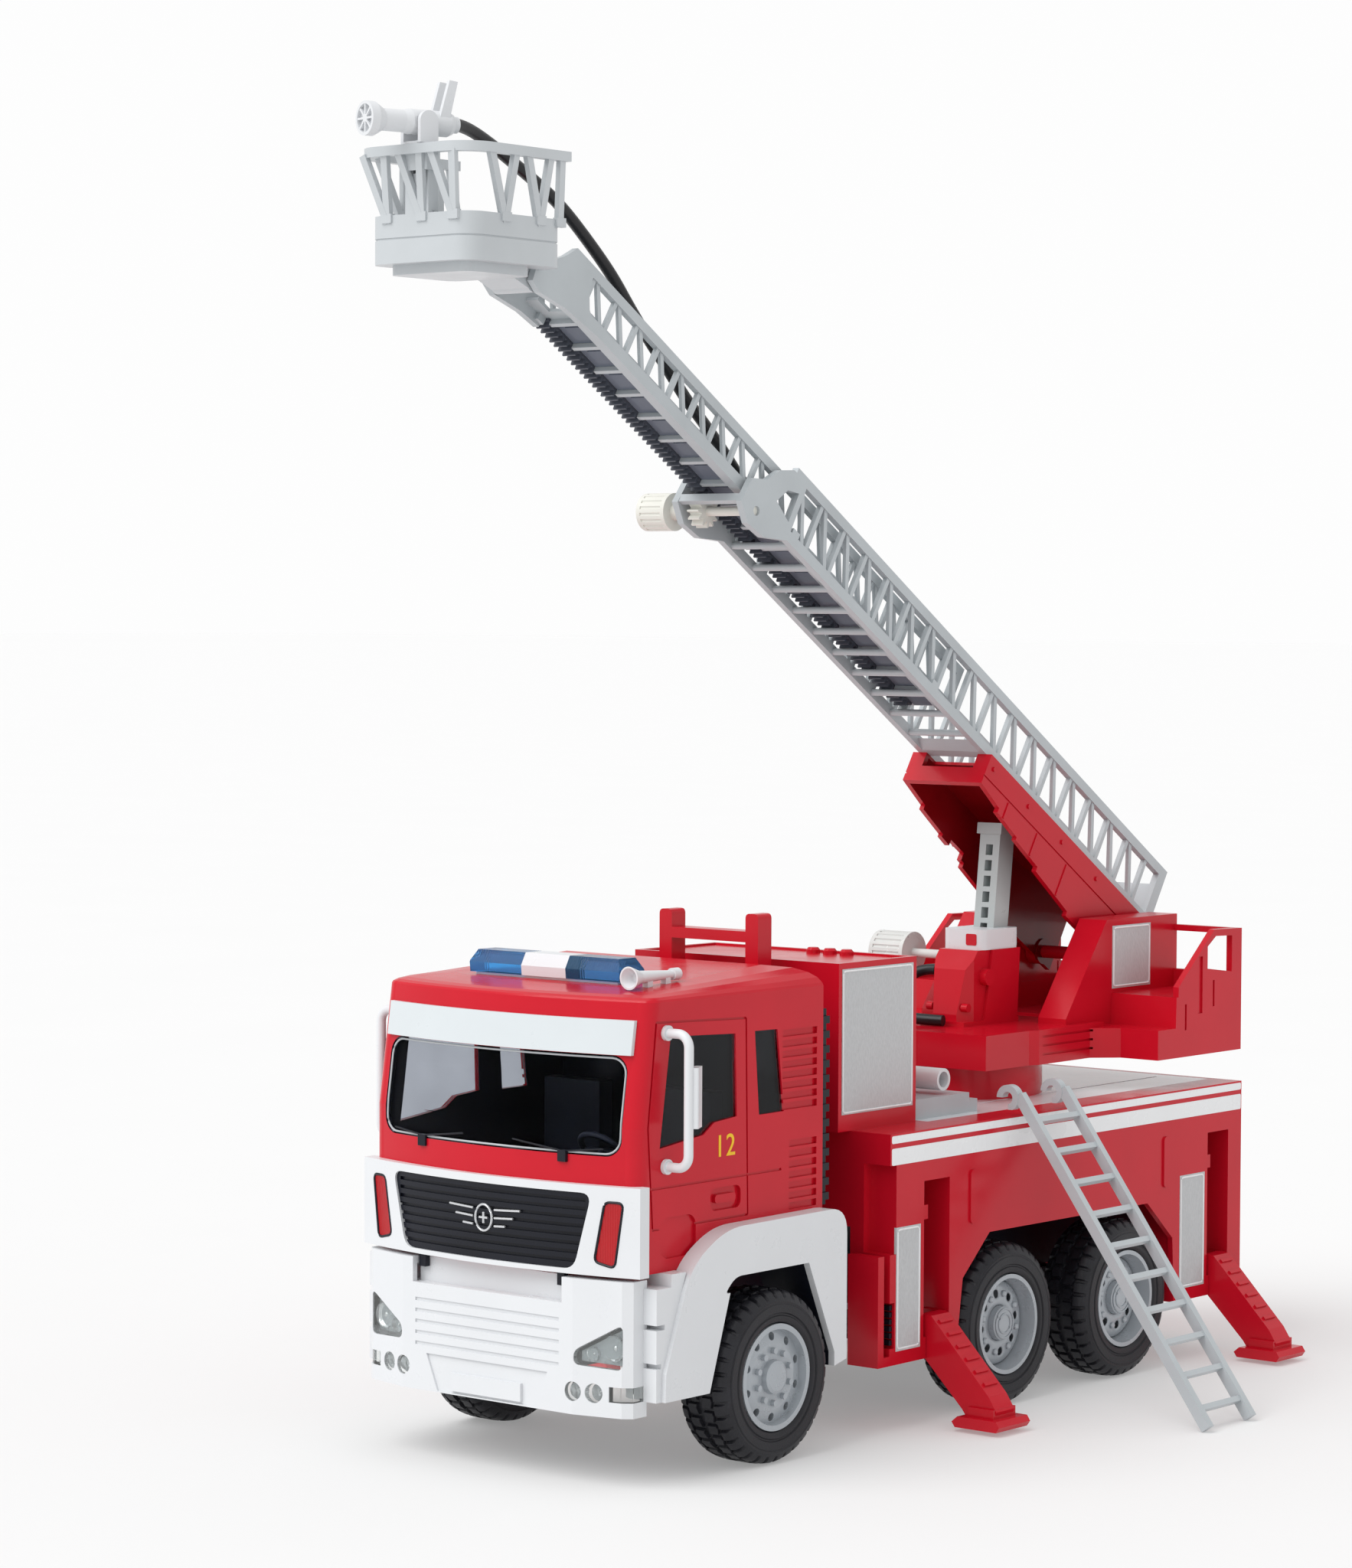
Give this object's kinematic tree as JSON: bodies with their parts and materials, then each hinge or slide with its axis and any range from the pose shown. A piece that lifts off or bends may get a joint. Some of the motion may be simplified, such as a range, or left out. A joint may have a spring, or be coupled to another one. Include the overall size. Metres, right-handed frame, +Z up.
{
  "type": "toy fire engine",
  "caption": "Toy fire engine with turning axles, fold-out outriggers, a turntable, a crank-extended ladder boom and a bucket with a swivelling nozzle.",
  "frame": {"origin": "on the ground, in the middle plane, straight below the turntable's yaw axis", "axes": "+X to the truck's left, +Y to the rear, +Z up"},
  "size_m": [0.2923, 0.5243, 0.5417],
  "materials": {
    "red_plastic": "moulded, slight gloss",
    "white_plastic": "moulded, slight gloss",
    "silver_plastic": "silver-grey, satin",
    "pale_grey_plastic": "light grey, satin",
    "dark_plastic": "dark grey, matte",
    "cream_plastic": "natural nylon",
    "tyre": "matt rubber",
    "rim_plastic": "satin grey",
    "window": "smoked clear plastic",
    "blue_lens": "tinted clear plastic",
    "red_lens": "tinted",
    "lamp_lens": "clear plastic",
    "hose_rubber": "smooth rubber"
  },
  "bodies": {
    "truck": {"chassis_frame": "dark_plastic", "cab_shell": "red_plastic", "cab_roof": "red_plastic", "windscreen": "window", "side_windows": "window", "sun_visor": "silver_plastic", "grille_panel": "white_plastic", "grille": "dark_plastic", "marker_lamps": "red_lens", "bumper": "white_plastic", "headlamps": "lamp_lens", "front_fenders": "white_plastic", "fender_liners": "dark_plastic", "cab_steps": "white_plastic", "mirrors": "white_plastic", "light_bar_base": "white_plastic", "light_bar_lenses": "blue_lens", "horn": "white_plastic", "ladder_rack": "red_plastic", "cab_interior": "dark_plastic", "intake_duct": "dark_plastic", "body_shell": "red_plastic", "equipment_box": "red_plastic", "locker_panels": "pale_grey_plastic", "deck_plate": "pale_grey_plastic", "plinth": "silver_plastic", "outlet_pipe": "white_plastic", "pedestal": "red_plastic"},
    "front_axle": {"front_wheels": "rim_plastic", "front_tyres": "tyre"},
    "rear_axle_1": {"rear_1_wheels": "rim_plastic", "rear_1_tyres": "tyre"},
    "rear_axle_2": {"rear_2_wheels": "rim_plastic", "rear_2_tyres": "tyre"},
    "turntable": {"platform": "red_plastic", "boom_brackets": "red_plastic", "bracket_panels": "pale_grey_plastic", "turntable_hose": "hose_rubber", "lift_housing": "red_plastic", "lift_collar": "white_plastic"},
    "boom": {"shroud": "red_plastic", "base_ladder": "silver_plastic"},
    "crank": {"crank": "cream_plastic"},
    "fly": {"fly_ladder": "silver_plastic", "rack": "dark_plastic", "fly_hose": "hose_rubber"},
    "bucket": {"bucket": "silver_plastic"},
    "nozzle_swivel": {"nozzle_base": "white_plastic"},
    "nozzle": {"nozzle_barrel": "white_plastic"},
    "lift_rod": {"lift_rod": "silver_plastic"},
    "lift_knob": {"lift_knob": "white_plastic"},
    "button_1": {"button_1": "red_plastic"},
    "button_2": {"button_2": "red_plastic"},
    "button_3": {"button_3": "red_plastic"},
    "outrigger_front_left": {"outrigger_front_left": "red_plastic"},
    "outrigger_front_right": {"outrigger_front_right": "red_plastic"},
    "outrigger_rear_left": {"outrigger_rear_left": "red_plastic"},
    "outrigger_rear_right": {"outrigger_rear_right": "red_plastic"},
    "scaling_ladder": {"scaling_ladder": "silver_plastic"}
  },
  "joints": [
    {"name": "front_axle_spin", "type": "hinge", "parent": "truck", "child": "front_axle", "pos_m": [0, -0.2316, 0.035], "axis": [1, 0, 0], "continuous": true},
    {"name": "rear_axle_1_spin", "type": "hinge", "parent": "truck", "child": "rear_axle_1", "pos_m": [0, -0.0672, 0.035], "axis": [1, 0, 0], "continuous": true},
    {"name": "rear_axle_2_spin", "type": "hinge", "parent": "truck", "child": "rear_axle_2", "pos_m": [0, 0.0228, 0.035], "axis": [1, 0, 0], "continuous": true},
    {"name": "turntable_yaw", "type": "hinge", "parent": "truck", "child": "turntable", "pos_m": [0, 0, 0.1386], "axis": [0, 0, 1], "range_deg": [-85, 85]},
    {"name": "boom_lift", "type": "hinge", "parent": "turntable", "child": "boom", "pos_m": [0, 0.095, 0.18], "axis": [-1, 0, 0], "range_deg": [-32.6, 12.4]},
    {"name": "crank_spin", "type": "hinge", "parent": "boom", "child": "crank", "pos_m": [0, -0.17069, 0.38078], "axis": [1, 0, 0], "range_deg": [-1110, 1110]},
    {"name": "fly_slide", "type": "slide", "parent": "boom", "child": "fly", "axis": [0, -0.8425, 0.5388], "range_m": [-0.115, 0]},
    {"name": "bucket_level", "type": "hinge", "parent": "fly", "child": "bucket", "pos_m": [0, -0.3, 0.468], "axis": [1, 0, 0], "range_deg": [-33, 45]},
    {"name": "nozzle_yaw", "type": "hinge", "parent": "bucket", "child": "nozzle_swivel", "pos_m": [0, -0.3555, 0.5166], "axis": [0, 0, 1], "range_deg": [-45, 60]},
    {"name": "nozzle_tilt", "type": "hinge", "parent": "nozzle_swivel", "child": "nozzle", "pos_m": [0, -0.3555, 0.5253], "axis": [0.9636, -0.2672, 0], "range_deg": [-18, 18]},
    {"name": "lift_rod_slide", "type": "slide", "parent": "turntable", "child": "lift_rod", "axis": [0, 0.1149, 0.9934], "range_m": [-0.042, 0.017]},
    {"name": "lift_knob_spin", "type": "hinge", "parent": "turntable", "child": "lift_knob", "pos_m": [0, 0.012, 0.1836], "axis": [1, 0, 0], "range_deg": [-380, 160]},
    {"name": "button_1_press", "type": "slide", "parent": "truck", "child": "button_1", "axis": [0, 0, -1], "range_m": [0, 0.0014], "stiffness_N_per_m": 150, "springref_m": -0.0012},
    {"name": "button_2_press", "type": "slide", "parent": "truck", "child": "button_2", "axis": [0, 0, -1], "range_m": [0, 0.0014], "stiffness_N_per_m": 150, "springref_m": -0.0012},
    {"name": "button_3_press", "type": "slide", "parent": "truck", "child": "button_3", "axis": [0, 0, -1], "range_m": [0, 0.0014], "stiffness_N_per_m": 150, "springref_m": -0.0012},
    {"name": "outrigger_front_left_fold", "type": "hinge", "parent": "truck", "child": "outrigger_front_left", "pos_m": [0.071, -0.1185, 0.0395], "axis": [0, -1, 0], "range_deg": [0, 112]},
    {"name": "outrigger_front_right_fold", "type": "hinge", "parent": "truck", "child": "outrigger_front_right", "pos_m": [-0.071, -0.1185, 0.0395], "axis": [0, 1, 0], "range_deg": [0, 112]},
    {"name": "outrigger_rear_left_fold", "type": "hinge", "parent": "truck", "child": "outrigger_rear_left", "pos_m": [0.071, 0.0998, 0.0395], "axis": [0, -1, 0], "range_deg": [0, 112]},
    {"name": "outrigger_rear_right_fold", "type": "hinge", "parent": "truck", "child": "outrigger_rear_right", "pos_m": [-0.071, 0.0998, 0.0395], "axis": [0, 1, 0], "range_deg": [0, 112]},
    {"name": "ladder_unhook", "type": "slide", "parent": "truck", "child": "scaling_ladder", "axis": [0.342, 0, 0.9397], "range_m": [0, 0.12]}
  ],
  "couplings": [
    {"joint": "lift_rod_slide", "follows": "boom_lift", "m_per_rad": 0.072},
    {"joint": "lift_knob_spin", "follows": "boom_lift", "ratio": 10.746},
    {"joint": "crank_spin", "follows": "fly_slide", "rad_per_m": 166.67}
  ]
}
